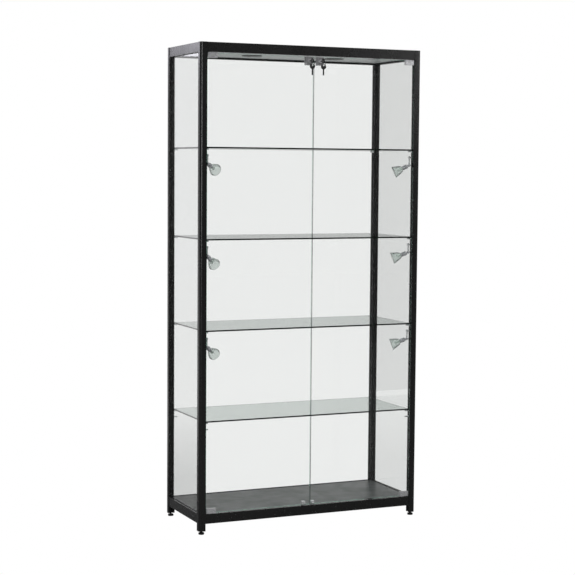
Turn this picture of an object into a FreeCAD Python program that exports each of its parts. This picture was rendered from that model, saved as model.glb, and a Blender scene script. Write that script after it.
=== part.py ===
"""Free-standing glass showcase: black profile frame, glass panes, shelves and two glass doors.

Millimetres. X runs left to right, Y from the front to the back, Z up from the floor.
The origin is the centre of the overall box at floor level; the door keys stand out in front.
"""
import FreeCAD, Part
import math
import os
import Sketcher
from FreeCAD import Placement, Rotation, Vector

# Driving dimensions: every independent size is written once, here.
SIZES = {
    "width": 1000, "depth": 400, "height": 2000, "key_reach": 45,
    "post": 28, "post_wall": 2, "corner_radius": 12, "corner_flat": 6,
    "edge_radius": 1, "foot_gap": 14,
    "groove_depth": 7, "groove_place": 15, "port_radius": 4,
    "rail_height": 40, "rail_inset": 2, "rail_wall": 2, "rail_lift": 44,
    "floor_thick": 10, "ceiling_thick": 4, "ceiling_lift": 7, "roof_thick": 4, "roof_drop": 2,
    "pane_thick": 5, "pane_bite": 5, "seal_wall": 1.2, "seal_room": 0.3,
    "shelf_thick": 6, "lowest_shelf": 466, "shelf_pitch": 372, "shelf_gap": 2,
    "shelf_front": 15, "shelf_back": 19, "arris": 0.6,
    "peg_gap": 0.3, "peg_radius": 3, "peg_depth": 6, "peg_reach": 16, "peg_head": 4,
    "peg_collar": 1.5, "spare_drop": 35,
    "door_plane": 7.5, "door_gap": 4, "door_side_gap": 2.5, "meeting_gap": 3, "pivot_inset": 7,
    "clamp_long": 41, "clamp_high": 19, "clamp_plate": 2.7, "clamp_edge": 2.0, "pin_radius": 2.5,
    "pin_rise": 8, "running": 0.05, "washer_radius": 5.5, "washer_gap": 0.1,
    "lock_place": 25, "lock_width": 26, "lock_high": 34, "lock_drop": 1, "lock_front": 8,
    "lock_back": 6.5, "plug_radius": 7, "plug_stand": 3, "bolt_width": 14, "bolt_thick": 3,
    "bolt_margin": 0.3, "bolt_skin": 1.0, "bolt_gap": 3, "bolt_tail": 9, "bolt_slot_play": 2,
    "crank": 4.2, "crank_pin": 1.5, "crank_play": 0.3, "crank_wall": 1, "sleeve_wall": 1, "sleeve_gap": 0.2,
    "channel_floor": 13, "room_wall": 1,
    "key_thick": 2.6, "bow_radius": 11, "bow_bite": 2, "shank_radius": 2.4, "bow_hole": 4, "hole_back": 9,
    "ring_radius": 9, "ring_wire": 0.8, "ring_sag": 1, "spare_hole": 6, "spare_slack": 2.4, "spare_shank": 1,
    "blade_long": 25, "blade_wide": 6, "blade_thick": 2,
    "stop_place": 21, "stop_back": 28, "stop_radius": 8.5, "stop_high": 14, "bumper_radius": 3,
    "bumper_lift": 4,
    "foot_radius": 12, "foot_thick": 8, "stud_rise": 26,
    "lamp_drop": 35, "lamp_offset": 11, "boss_radius": 5, "boss_high": 8, "pivot_radius": 2,
    "cap_thick": 2, "stem_radius": 2.8, "stem_long": 33, "eye_radius": 6, "eye_thick": 6,
    "ear_wide": 8, "ear_thick": 3, "ear_bite": 2, "lamp_gap": 0.3,
    "holder_radius": 9, "holder_start": 8, "holder_end": 31, "shell_wall": 1.2,
    "mouth_radius": 25, "mouth_reach": 72, "mouth_rim": 3, "flare_radius": 21, "flare_back": 13,
    "throat_radius": 14, "throat_long": 8, "cover_thick": 2, "cover_sink": 0.8,
    "pan_left": 40, "pan_right": 22, "tilt_left_1": 30, "tilt_left_2": 33, "tilt_left_3": 21,
    "tilt_right_1": 21, "tilt_right_2": 21, "tilt_right_3": 25,
    "vent_place": 190, "vent_back": 15, "vent_radius": 43, "vent_thick": 2.5, "vent_slot": 4,
    "vent_slot_long": 22, "vent_slot_start": 11, "vent_bore": 36,
    "gland_place": 80, "gland_radius": 9, "gland_body": 7, "gland_bore": 4, "gland_rim": 1, "gland_drop": 6,
    "transformer_long": 120, "transformer_wide": 56, "transformer_high": 22,
    "bracket_leg": 24, "bracket_thick": 3, "bracket_high": 20,
}

SHELVES = 4
VENT_SLOTS = 12
KEY_TURN = 45

doc = FreeCAD.newDocument("showcase")
sheet = doc.addObject("Spreadsheet::Sheet", "dims")
for row, (alias, number) in enumerate(SIZES.items(), start=1):
    sheet.set(f"A{row}", alias)
    sheet.set(f"B{row}", str(number))
    sheet.setAlias(f"B{row}", alias)
doc.recompute()

kept = []


class Size:
    """A length that carries both its number and the sheet expression that gives it."""

    def __init__(self, value, text):
        self.value = value
        self.text = text

    def __add__(self, other):
        return combine(self, other, "+")

    def __radd__(self, other):
        return combine(other, self, "+")

    def __sub__(self, other):
        return combine(self, other, "-")

    def __rsub__(self, other):
        return combine(other, self, "-")

    def __mul__(self, other):
        return combine(self, other, "*")

    def __rmul__(self, other):
        return combine(other, self, "*")

    def __truediv__(self, other):
        return combine(self, other, "/")

    def __neg__(self):
        return combine(0, self, "-")


def as_size(term):
    """Accept a plain number where a Size is wanted."""
    if isinstance(term, Size):
        return term
    return Size(float(term), f"({float(term):.6f})")


def combine(left, right, sign):
    """Work out the number and write the matching expression."""
    left, right = as_size(left), as_size(right)
    results = {"+": left.value + right.value, "-": left.value - right.value, "*": left.value * right.value}
    value = left.value / right.value if sign == "/" else results[sign]
    return Size(value, f"({left.text} {sign} {right.text})")


def size(alias):
    """The named cell of the sheet."""
    return Size(float(sheet.get(alias)), f"dims.{alias}")


def bind(thing, prop, term):
    """Tie one property to the sheet."""
    thing.setExpression(prop, as_size(term).text)


def bind_place(thing, corner):
    """Tie the position of a piece to the sheet."""
    for letter, term in zip("xyz", corner):
        bind(thing, f"Placement.Base.{letter}", term)


def keep(thing):
    """Mark an object as a finished piece; its Label names its file."""
    thing.Label = thing.Name
    kept.append(thing)
    return thing


# ---------------------------------------------------------------- primitives and booleans

def block(name, sides, centre):
    """A rectangular block given by its three sides and its centre."""
    made = doc.addObject("Part::Box", name)
    for prop, side in zip(("Length", "Width", "Height"), sides):
        bind(made, prop, side)
    bind_place(made, [middle - as_size(side) / 2 for middle, side in zip(centre, sides)])
    return made


def rod(name, radius, length, start, axis="z"):
    """A round rod from a start point along the positive X, Y or Z direction."""
    made = doc.addObject("Part::Cylinder", name)
    bind(made, "Radius", radius)
    bind(made, "Height", length)
    turns = {"x": Rotation(Vector(0, 1, 0), 90), "y": Rotation(Vector(1, 0, 0), -90), "z": Rotation()}
    made.Placement = Placement(Vector(), turns[axis])
    bind_place(made, start)
    return made


def cut(name, base, tool):
    """What is left of the base once the tool is taken away."""
    made = doc.addObject("Part::Cut", name)
    made.Base = base
    made.Tool = tool
    return made


def fuse(name, shapes):
    """One solid from several that touch."""
    made = doc.addObject("Part::MultiFuse", name)
    made.Shapes = shapes
    made.Refine = True
    return made


def group(name, shapes):
    """Separate like solids kept together as one piece set."""
    made = doc.addObject("Part::Compound", name)
    made.Links = shapes
    return made


# ---------------------------------------------------------------- bodies made from sketches

def origin_plane(body, role):
    """One of the body's own origin planes."""
    return next(item for item in body.Origin.OriginFeatures if item.Role == role)


def new_sketch(body, name, role, lift=0):
    """A sketch on one of the body's origin planes, lifted along the plane's normal."""
    drawing = body.newObject("Sketcher::SketchObject", name)
    drawing.AttachmentSupport = (origin_plane(body, role), [""])
    drawing.MapMode = "FlatFace"
    bind(drawing, "AttachmentOffset.Base.z", lift)
    return drawing


def pin_point(drawing, item, spot, point):
    """Hold a sketch point at its place: on an axis, or at a distance tied to the sheet."""
    for kind, term, axis in (("DistanceX", point[0], -2), ("DistanceY", point[1], -1)):
        term = as_size(term)
        if abs(term.value) < 1e-9:
            drawing.addConstraint(Sketcher.Constraint("PointOnObject", item, spot, axis))
            continue
        index = drawing.addConstraint(Sketcher.Constraint(kind, -1, 1, item, spot, term.value))
        bind(drawing, f"Constraints[{index}]", term)


def loop(drawing, points):
    """A closed straight-sided outline through the given points."""
    first = drawing.GeometryCount
    corners = [Vector(as_size(x).value, as_size(y).value, 0) for x, y in points]
    for here, there in zip(corners, corners[1:] + corners[:1]):
        drawing.addGeometry(Part.LineSegment(here, there), False)
    for step, point in enumerate(points):
        following = first + (step + 1) % len(points)
        drawing.addConstraint(Sketcher.Constraint("Coincident", first + step, 2, following, 1))
        pin_point(drawing, first + step, 1, point)


def ring_in(drawing, centre, radius):
    """A full circle with its centre and radius tied to the sheet."""
    spot = Vector(as_size(centre[0]).value, as_size(centre[1]).value, 0)
    item = drawing.addGeometry(Part.Circle(spot, Vector(0, 0, 1), as_size(radius).value), False)
    pin_point(drawing, item, 3, centre)
    index = drawing.addConstraint(Sketcher.Constraint("Radius", item, as_size(radius).value))
    bind(drawing, f"Constraints[{index}]", radius)


def pad(body, drawing, length, midplane=False):
    """Extrude a sketch into a solid."""
    made = body.newObject("PartDesign::Pad", f"{body.Name}_pad")
    made.Profile = drawing
    made.Midplane = midplane
    bind(made, "Length", length)
    doc.recompute()
    return made


def pocket(body, drawing, length, reverse):
    """Cut a sketch out of the solid and make sure that it really removes material."""
    before = body.Shape.Volume
    made = body.newObject("PartDesign::Pocket", f"{body.Name}_pocket")
    made.Profile = drawing
    made.Reversed = reverse
    bind(made, "Length", length)
    doc.recompute()
    if body.Shape.Volume >= before:
        raise RuntimeError(f"{body.Name}: the pocket cuts nothing")
    return made


def turned(name, points):
    """A body of revolution about Z from (radius, height) points."""
    body = doc.addObject("PartDesign::Body", name)
    drawing = new_sketch(body, f"{name}_profile", "XZ_Plane")
    loop(drawing, points)
    made = body.newObject("PartDesign::Revolution", f"{name}_turn")
    made.Profile = drawing
    made.ReferenceAxis = (drawing, ["V_Axis"])
    made.Angle = 360
    doc.recompute()
    return body


def round_edges(body, feature, radius, wanted, kind="Fillet"):
    """Round or chamfer the edges for which wanted(edge) is true."""
    names = [f"Edge{count}" for count, edge in enumerate(feature.Shape.Edges, start=1) if wanted(edge)]
    made = body.newObject(f"PartDesign::{kind}", f"{body.Name}_{kind.lower()}")
    made.Base = (feature, names)
    bind(made, "Radius" if kind == "Fillet" else "Size", radius)
    doc.recompute()
    return made


def runs_along(edge, direction):
    """True for a straight edge parallel to the direction."""
    span = edge.Vertexes[-1].Point - edge.Vertexes[0].Point
    return span.Length > 1e-6 and abs(span.normalize().dot(direction)) > 0.999


def glass_plate(name, sides, centre):
    """A flat glass plate with fine ground edges."""
    body = doc.addObject("PartDesign::Body", name)
    drawing = new_sketch(body, f"{name}_outline", "XY_Plane")
    half_x, half_y = as_size(sides[0]) / 2, as_size(sides[1]) / 2
    loop(drawing, [(-half_x, -half_y), (half_x, -half_y), (half_x, half_y), (-half_x, half_y)])
    plate = pad(body, drawing, sides[2], midplane=True)
    round_edges(body, plate, size("arris"), lambda edge: True, kind="Chamfer")
    bind_place(body, centre)
    return body


# ---------------------------------------------------------------- shared places

width, depth, height = size("width"), size("depth"), size("height")
post, running = size("post"), size("running")
front = (size("key_reach") - depth) / 2
back = front + depth
middle_y = (front + back) / 2
inner_width = width - post * 2
inner_depth = depth - post * 2
floor_top = size("rail_lift") + size("rail_height")
top_rail_low = height - size("rail_height")
groove_width = size("pane_thick") + (size("seal_wall") + size("seal_room")) * 2
pane_y = back - size("groove_place")
pane_x = width / 2 - size("groove_place")
shelf_tops = [size("lowest_shelf") + size("shelf_pitch") * count for count in range(SHELVES)]
peg_levels = [top - size("shelf_thick") - size("peg_radius") for top in shelf_tops]
lamp_levels = [top - size("lamp_drop") for top in shelf_tops[1:]]
spare_level = shelf_tops[0] - size("spare_drop")
peg_place = size("groove_place") + size("pane_thick") / 2 + size("seal_wall") + size("peg_head") + size("peg_gap")
front_peg_y = front + peg_place
back_peg_y = back - peg_place
door_y = front + size("door_plane")
door_low = floor_top + size("door_gap")
door_high = top_rail_low - size("door_gap")
pivot_x = width / 2 - post - size("pivot_inset")
sides = (("left", -1), ("right", 1))
corners = (
    ("front_left", -1, -1, 0), ("front_right", 1, -1, 90),
    ("back_right", 1, 1, 180), ("back_left", -1, 1, 270),
)


# ---------------------------------------------------------------- posts, caps and feet

def post_outline(drawing):
    """The extrusion's section: outer corner at the origin, a pane groove in both inner faces."""
    near = size("groove_place") - groove_width / 2
    far = size("groove_place") + groove_width / 2
    deep = post - size("groove_depth")
    loop(drawing, [
        (0, 0), (post, 0), (post, near), (deep, near), (deep, far), (post, far),
        (post, post), (far, post), (far, deep), (near, deep), (near, post), (0, post),
    ])
    wall = size("post_wall")
    inner = near - wall
    loop(drawing, [
        (size("corner_flat"), wall), (post - wall, wall), (post - wall, inner), (inner, inner),
        (inner, post - wall), (wall, post - wall), (wall, size("corner_flat")),
    ])
    ring_in(drawing, (size("groove_place"), size("groove_place")), size("port_radius"))


def corner_post(name, side_x, side_y, turn):
    """One upright, bored for the pegs in the face that looks across the cabinet."""
    body = doc.addObject("PartDesign::Body", f"post_{name}")
    section = new_sketch(body, f"post_{name}_section", "XY_Plane")
    post_outline(section)
    extrusion = pad(body, section, height - size("foot_gap") - size("post_wall"))
    outer = round_edges(body, extrusion, size("corner_radius"), lambda edge: (
        runs_along(edge, Vector(0, 0, 1)) and edge.CenterOfMass.x < 1e-6 and edge.CenterOfMass.y < 1e-6))
    levels = peg_levels + [spare_level] + (lamp_levels if side_y < 0 else [])
    across_x = turn in (0, 180)
    lift = post - size("peg_depth")
    drawing = new_sketch(body, f"post_{name}_bores", "YZ_Plane" if across_x else "XZ_Plane",
                         lift if across_x else -lift)
    for level in levels:
        ring_in(drawing, (peg_place, level - size("foot_gap")), size("peg_radius") + running)
    pocket(body, drawing, post, reverse=across_x)
    body.Placement = Placement(Vector(), Rotation(Vector(0, 0, 1), turn))
    bind_place(body, (side_x * width / 2, middle_y + side_y * depth / 2, size("foot_gap")))
    return keep(body)


def post_cap(name, side_x, side_y, turn):
    """A flat end cap that closes the top of a post."""
    body = doc.addObject("PartDesign::Body", f"cap_{name}")
    drawing = new_sketch(body, f"cap_{name}_outline", "XY_Plane")
    loop(drawing, [(0, 0), (post, 0), (post, post), (0, post)])
    plate = pad(body, drawing, size("post_wall"))
    round_edges(body, plate, size("corner_radius"), lambda edge: (
        runs_along(edge, Vector(0, 0, 1)) and edge.CenterOfMass.x < 1e-6 and edge.CenterOfMass.y < 1e-6))
    body.Placement = Placement(Vector(), Rotation(Vector(0, 0, 1), turn))
    bind_place(body, (side_x * width / 2, middle_y + side_y * depth / 2, height - size("post_wall")))
    return body


def levelling_foot(name, side_x, side_y):
    """A round foot on a stud that turns in the post's screw port."""
    rim = size("foot_radius")
    stud = size("port_radius") - running
    neck = size("foot_thick") - size("edge_radius") * 2
    tip = size("foot_gap") + size("stud_rise")
    body = turned(f"foot_{name}", [
        (0, 0), (rim - size("edge_radius"), 0), (rim, size("edge_radius")), (rim, neck),
        (rim - size("edge_radius") * 2, size("foot_thick")), (stud, size("foot_thick")),
        (stud, tip), (0, tip),
    ])
    inset = size("groove_place")
    bind_place(body, (side_x * (width / 2 - inset), middle_y + side_y * (depth / 2 - inset), 0))
    return keep(body)


# ---------------------------------------------------------------- rails and panels

def rail(name, length, grooved, turn, place):
    """A hollow rail; a grooved one carries a pane in its upper (+1) or lower (-1) face."""
    body = doc.addObject("PartDesign::Body", name)
    drawing = new_sketch(body, f"{name}_section", "XZ_Plane")
    deep, tall, wall = post - size("rail_inset"), size("rail_height"), size("rail_wall")
    near = size("groove_place") - size("rail_inset") - groove_width / 2
    far = near + groove_width
    low, inner_low = size("groove_depth"), size("groove_depth") + wall
    outer = [(0, 0), (near, 0), (near, low), (far, low), (far, 0), (deep, 0), (deep, tall), (0, tall)]
    inner = [
        (wall, wall), (near - wall, wall), (near - wall, inner_low), (far + wall, inner_low),
        (far + wall, wall), (deep - wall, wall), (deep - wall, tall - wall), (wall, tall - wall),
    ]
    if not grooved:
        outer = [(0, 0), (deep, 0), (deep, tall), (0, tall)]
        inner = [(wall, wall), (deep - wall, wall), (deep - wall, tall - wall), (wall, tall - wall)]
    if grooved > 0:
        outer = [(across, tall - up) for across, up in outer]
        inner = [(across, tall - up) for across, up in inner]
    loop(drawing, outer)
    loop(drawing, inner)
    extrusion = pad(body, drawing, length, midplane=True)
    round_edges(body, extrusion, size("edge_radius"), lambda edge: (
        runs_along(edge, Vector(0, 1, 0)) and edge.CenterOfMass.x < 1e-6))
    body.Placement = Placement(Vector(), Rotation(Vector(0, 0, 1), turn))
    bind_place(body, place)
    return body


def long_rails():
    """Front and back rails; the front ones take the door pivots and the lock bolts."""
    front_y = front + size("rail_inset")
    back_y = back - size("rail_inset")
    keep(rail("bottom_rail_back", inner_width, 1, 270, (0, back_y, size("rail_lift"))))
    keep(rail("top_rail_back", inner_width, -1, 270, (0, back_y, top_rail_low)))
    for name, level, face in (("bottom", size("rail_lift"), floor_top), ("top", top_rail_low, top_rail_low)):
        tube = rail(f"{name}_rail_front_tube", inner_width, 0, 90, (0, front_y, level))
        tools = []
        for side, sign in sides:
            tools.append(rod(f"{name}_{side}_pivot_bore", size("pin_radius") + running,
                             size("rail_wall") * 2, (sign * pivot_x, door_y, face - size("rail_wall"))))
            if name == "top":
                play = size("bolt_slot_play")
                slot = (size("bolt_width") + play, size("bolt_thick") + play, size("rail_wall") * 2)
                tools.append(block(f"{side}_bolt_slot", slot, (sign * size("lock_place"), bolt_y, face)))
        keep(cut(f"{name}_rail_front", tube, group(f"{name}_rail_bores", tools)))


def side_rails():
    """The rails along the two ends."""
    for name, groove, level in (("bottom", 1, size("rail_lift")), ("top", -1, top_rail_low)):
        pair = []
        for side, sign in sides:
            place = (sign * (width / 2 - size("rail_inset")), middle_y, level)
            pair.append(rail(f"{name}_rail_{side}", inner_depth, groove, 0 if sign < 0 else 180, place))
        keep(group(f"{name}_side_rails", pair))


def panels():
    """Floor, ceiling and roof panels between the rails."""
    floor_level = floor_top - size("floor_thick") / 2
    keep(block("floor_panel", (inner_width, inner_depth, size("floor_thick")), (0, middle_y, floor_level)))
    ceiling_level = top_rail_low + size("ceiling_lift") + size("ceiling_thick") / 2
    ceiling = (inner_width, inner_depth, size("ceiling_thick"))
    sheet_blank = block("ceiling_blank", ceiling, (0, middle_y, ceiling_level))
    bores = []
    for side, sign in sides:
        spot = (sign * size("vent_place"), middle_y + size("vent_back"), top_rail_low)
        bores.append(rod(f"vent_bore_{side}", size("vent_bore"), size("rail_height") / 2, spot))
    keep(cut("ceiling_panel", sheet_blank, group("vent_bores", bores)))
    roof = (inner_width, inner_depth, size("roof_thick"))
    roof_level = height - size("roof_drop") - size("roof_thick") / 2
    roof_blank = block("roof_blank", roof, (0, middle_y, roof_level))
    spot = (width / 2 - size("gland_place"), back - size("gland_place"), top_rail_low)
    keep(cut("roof_panel", roof_blank, rod("gland_opening", size("gland_body"), height, spot)))


def ceiling_vents():
    """Two round slotted rosettes under the ceiling panel."""
    made = []
    for side, sign in sides:
        level = top_rail_low + size("ceiling_lift") - size("vent_thick")
        spot = (sign * size("vent_place"), middle_y + size("vent_back"), level)
        disc = rod(f"vent_disc_{side}", size("vent_radius"), size("vent_thick"), spot)
        slots = []
        for count in range(VENT_SLOTS):
            slot = doc.addObject("Part::Box", f"vent_slot_{side}_{count}")
            bind(slot, "Length", size("vent_slot_long"))
            bind(slot, "Width", size("vent_slot"))
            bind(slot, "Height", size("vent_thick") * 3)
            turn = math.radians(360 / VENT_SLOTS * count)
            reach, half = size("vent_slot_start"), size("vent_slot") / 2
            slot.Placement = Placement(Vector(), Rotation(Vector(0, 0, 1), math.degrees(turn)))
            bind_place(slot, (spot[0] + math.cos(turn) * reach + math.sin(turn) * half,
                              spot[1] + math.sin(turn) * reach - math.cos(turn) * half,
                              level - size("vent_thick")))
            slots.append(slot)
        made.append(cut(f"vent_{side}", disc, group(f"vent_slots_{side}", slots)))
    keep(group("ceiling_vents", made))


def corner_brackets():
    """Angle brackets in the corners, under the floor and between ceiling and roof."""
    made = []
    leg, thick, tall = size("bracket_leg"), size("bracket_thick"), size("bracket_high")
    levels = (floor_top - size("floor_thick") - tall / 2,
              top_rail_low + size("ceiling_lift") + size("ceiling_thick") + tall / 2)
    for name, side_x, side_y, turn in corners:
        for count, level in enumerate(levels):
            x = side_x * (inner_width / 2)
            y = middle_y + side_y * (inner_depth / 2)
            long_leg = block(f"bracket_{name}_{count}_long", (leg, thick, tall),
                             (x - side_x * leg / 2, y - side_y * thick / 2, level))
            short_leg = block(f"bracket_{name}_{count}_short", (thick, leg, tall),
                              (x - side_x * thick / 2, y - side_y * leg / 2, level))
            made.append(fuse(f"bracket_{name}_{count}", [long_leg, short_leg]))
    keep(group("corner_brackets", made))


def top_compartment():
    """The lamp transformer above the ceiling panel and the gland where its lead comes in."""
    body = doc.addObject("PartDesign::Body", "transformer")
    drawing = new_sketch(body, "transformer_outline", "XY_Plane")
    half_x, half_y = size("transformer_long") / 2, size("transformer_wide") / 2
    loop(drawing, [(-half_x, -half_y), (half_x, -half_y), (half_x, half_y), (-half_x, half_y)])
    case = pad(body, drawing, size("transformer_high"))
    round_edges(body, case, size("edge_radius") * 3, lambda edge: runs_along(edge, Vector(0, 0, 1)))
    level = top_rail_low + size("ceiling_lift") + size("ceiling_thick")
    bind_place(body, (0, back - post - size("transformer_wide"), level))
    keep(body)
    outer, body_radius, bore = size("gland_radius"), size("gland_body"), size("gland_bore")
    deep = size("roof_thick") + size("gland_drop")
    top = deep + size("gland_rim")
    gland = turned("cable_gland", [
        (bore, 0), (body_radius, 0), (body_radius, deep), (outer, deep), (outer, top), (bore, top),
    ])
    bind_place(gland, (width / 2 - size("gland_place"), back - size("gland_place"),
                       height - size("roof_drop") - deep))
    keep(gland)


# ---------------------------------------------------------------- glazing and shelves

def fixed_panes():
    """The two end panes and the back pane, each edged by a U-shaped seal in the frame's grooves."""
    bite = size("pane_bite")
    tall = top_rail_low - floor_top + bite * 2
    level = (top_rail_low + floor_top) / 2
    seals = []
    for side, sign in sides:
        long = inner_depth + bite * 2
        pane = glass_plate(f"side_glass_{side}", (long, tall, size("pane_thick")), (0, 0, 0))
        pane.Placement = Placement(Vector(), Rotation(Vector(1, 1, 1), 120))
        bind_place(pane, (sign * pane_x, middle_y, level))
        keep(pane)
        seals.append(pane_seal(side, (size("pane_thick"), long, tall), (sign * pane_x, middle_y, level), 0))
    long = inner_width + bite * 2
    pane = glass_plate("back_glass", (long, tall, size("pane_thick")), (0, 0, 0))
    pane.Placement = Placement(Vector(), Rotation(Vector(1, 0, 0), 90))
    bind_place(pane, (0, pane_y, level))
    keep(pane)
    seals.append(pane_seal("back", (long, size("pane_thick"), tall), (0, pane_y, level), 1))
    keep(group("glazing_seals", seals))


def pane_seal(name, pane, centre, thin):
    """A rubber U all round a pane: a thicker block, less the pane, less the clear view."""
    wall = size("seal_wall")
    outer = [side + wall * 2 for side in pane]
    clear = [side - (size("pane_bite") + wall) * 2 for side in pane]
    clear[thin] = pane[thin] + wall * 4
    whole = block(f"seal_{name}_whole", outer, centre)
    space = block(f"seal_{name}_pane", pane, centre)
    view = block(f"seal_{name}_view", clear, centre)
    return cut(f"seal_{name}", whole, fuse(f"seal_{name}_inside", [space, view]))


def shelves():
    """Four glass shelves lying on pegs."""
    long = inner_width - size("shelf_gap") * 2
    wide = depth - size("shelf_front") - size("shelf_back")
    centre_y = (front + size("shelf_front") + back - size("shelf_back")) / 2
    for count, top in enumerate(shelf_tops, start=1):
        level = top - size("shelf_thick") / 2
        keep(glass_plate(f"glass_shelf_{count}", (long, wide, size("shelf_thick")), (0, centre_y, level)))


def pegs():
    """Round shelf pegs, with an unused set under the lowest shelf."""
    radius, head, collar_long = size("peg_radius"), size("peg_head"), size("peg_collar")
    made = []
    for name, side_x, side_y, turn in corners:
        peg_y = front_peg_y if side_y < 0 else back_peg_y
        for count, level in enumerate(peg_levels + [spare_level]):
            start = inner_width / 2 + size("peg_depth")
            long = size("peg_depth") + size("peg_reach")
            low = side_x * start if side_x < 0 else start - long
            shank = rod(f"peg_{name}_{count}_shank", radius, long, (low, peg_y, level), "x")
            collar_low = -inner_width / 2 if side_x < 0 else inner_width / 2 - collar_long
            collar = rod(f"peg_{name}_{count}_collar", head, collar_long, (collar_low, peg_y, level), "x")
            made.append(fuse(f"peg_{name}_{count}", [shank, collar]))
    keep(group("shelf_pegs", made))


# ---------------------------------------------------------------- doors

bolt_y = door_y + size("pane_thick") / 2 + size("bolt_skin") + size("bolt_thick") / 2
lock_top = door_high - size("lock_drop")
lock_axis_z = lock_top - size("lock_high") / 2
sleeve_radius = size("plug_radius") + size("sleeve_wall")


def door_leaf(side, sign):
    """A frameless leaf, drilled for its lock."""
    outer = inner_width / 2 - size("door_side_gap")
    long = outer - size("meeting_gap") / 2
    tall = door_high - door_low
    body = doc.addObject("PartDesign::Body", f"door_glass_{side}")
    drawing = new_sketch(body, f"door_{side}_outline", "XZ_Plane")
    loop(drawing, [(0, 0), (long, 0), (long, tall), (0, tall)])
    lock_x = outer - size("lock_place")
    lock_bore = size("lock_place") - size("meeting_gap") / 2
    spot = lock_x if sign < 0 else lock_bore
    ring_in(drawing, (spot, lock_axis_z - door_low), sleeve_radius + size("sleeve_gap"))
    plate = pad(body, drawing, size("pane_thick"), midplane=True)
    round_edges(body, plate, size("arris"), lambda edge: len(edge.Vertexes) == 2, kind="Chamfer")
    bind_place(body, (-outer if sign < 0 else size("meeting_gap") / 2, door_y, door_low))
    return keep(body)


def hinge_clamps(side, sign):
    """Two clamps that grip the leaf's outer corners, each with its pivot pin."""
    made = []
    plate = size("clamp_plate")
    thick = size("pane_thick") + plate * 2
    edge = size("clamp_edge")
    tall = size("clamp_high") + edge
    centre_x = sign * (pivot_x + size("clamp_edge") - size("clamp_long") / 2)
    for end, glass_edge, up in (("top", door_high, 1), ("bottom", door_low, -1)):
        level = glass_edge + up * edge - up * tall / 2
        whole = block(f"clamp_{side}_{end}_whole", (size("clamp_long"), thick, tall),
                      (centre_x, door_y, level))
        slot_level = glass_edge - up * (tall / 2 + 1)
        slot = block(f"clamp_{side}_{end}_slot", (size("clamp_long") * 2, size("pane_thick"), tall + 2),
                     (centre_x, door_y, slot_level))
        jaws = cut(f"clamp_{side}_{end}_jaws", whole, slot)
        rise = size("door_gap") - edge + size("pin_rise")
        low = glass_edge + edge if up > 0 else glass_edge - edge - rise
        pin = rod(f"clamp_{side}_{end}_pin", size("pin_radius"), rise, (sign * pivot_x, door_y, low))
        made.append(fuse(f"clamp_{side}_{end}", [jaws, pin]))
    keep(group(f"hinge_clamps_{side}", made))


def pivot_washers():
    """Thin washers round the pivot pins, between clamp and rail."""
    made = []
    thick = size("door_gap") - size("clamp_edge") - size("washer_gap")
    for side, sign in sides:
        for end, low in (("bottom", floor_top), ("top", top_rail_low - thick)):
            bore = size("pin_radius") + running
            washer = turned(f"washer_{side}_{end}", [
                (bore, 0), (size("washer_radius"), 0), (size("washer_radius"), thick), (bore, thick)])
            bind_place(washer, (sign * pivot_x, door_y, low))
            made.append(washer)
    keep(group("pivot_washers", made))


def lock_body(side, sign):
    """The housing: a front case and a back case gripping the glass, bored for plug and bolt."""
    x = sign * size("lock_place")
    half = size("pane_thick") / 2
    wide, tall = size("lock_width"), size("lock_high")
    face = front - size("lock_front")
    glass_front, glass_back = door_y - half, door_y + half
    shell = block(f"lock_{side}_front_case", (wide, glass_front - face, tall),
                  (x, (face + glass_front) / 2, lock_axis_z))
    rear = block(f"lock_{side}_back_case", (wide, size("lock_back"), tall),
                 (x, glass_back + size("lock_back") / 2, lock_axis_z))
    sleeve = rod(f"lock_{side}_sleeve", sleeve_radius, size("pane_thick"), (x, glass_front, lock_axis_z), "y")
    whole = fuse(f"lock_{side}_whole", [shell, sleeve, rear])
    margin = size("bolt_margin")
    bore = rod(f"lock_{side}_bore", size("plug_radius") + running, glass_back - face + size("plug_stand"),
               (x, face - size("plug_stand"), lock_axis_z), "y")
    channel_room = (size("bolt_width") + margin * 2, size("bolt_thick") + margin * 2, tall)
    channel_z = lock_axis_z - size("channel_floor") + tall / 2
    channel = block(f"lock_{side}_channel", channel_room, (x, bolt_y, channel_z))
    skin = size("room_wall")
    pin_room = rod(f"lock_{side}_pin_room", size("plug_radius") - skin / 2, size("lock_back") - skin,
                   (x, glass_back - skin, lock_axis_z), "y")
    keep(cut(f"lock_body_{side}", whole, group(f"lock_{side}_hollows", [bore, channel, pin_room])))


def lock_plug(side, sign):
    """The turning plug with a crank pin that lifts the bolt."""
    x = sign * size("lock_place")
    face = front - size("lock_front") - size("plug_stand")
    end = door_y + size("pane_thick") / 2
    barrel = rod(f"plug_{side}_barrel", size("plug_radius"), end - face, (x, face, lock_axis_z), "y")
    keyway = block(f"plug_{side}_keyway", (size("blade_thick"), size("blade_long"), size("blade_wide")),
                   (x, face, lock_axis_z))
    arm = size("crank") * math.sqrt(0.5)
    bite = size("crank_pin") / 2
    pin_long = size("bolt_skin") + size("bolt_thick") + bite
    pin = rod(f"plug_{side}_pin", size("crank_pin"), pin_long, (x + arm, end - bite, lock_axis_z - arm), "y")
    keep(cut(f"lock_plug_{side}", fuse(f"plug_{side}_whole", [barrel, pin]), keyway))


def lock_bolt(side, sign):
    """The flat bolt with a cross slot for the crank pin."""
    x = sign * size("lock_place")
    high = top_rail_low - size("bolt_gap")
    low = lock_axis_z - size("bolt_tail")
    plate = block(f"bolt_{side}_plate", (size("bolt_width"), size("bolt_thick"), high - low),
                  (x, bolt_y, (high + low) / 2))
    arm = size("crank") * math.sqrt(0.5)
    opening = (size("bolt_width") - size("crank_wall") * 2, size("bolt_thick") * 2,
               (size("crank_pin") + size("crank_play")) * 2)
    slot = block(f"bolt_{side}_slot", opening, (x, bolt_y, lock_axis_z - arm))
    keep(cut(f"lock_bolt_{side}", plate, slot))


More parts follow.
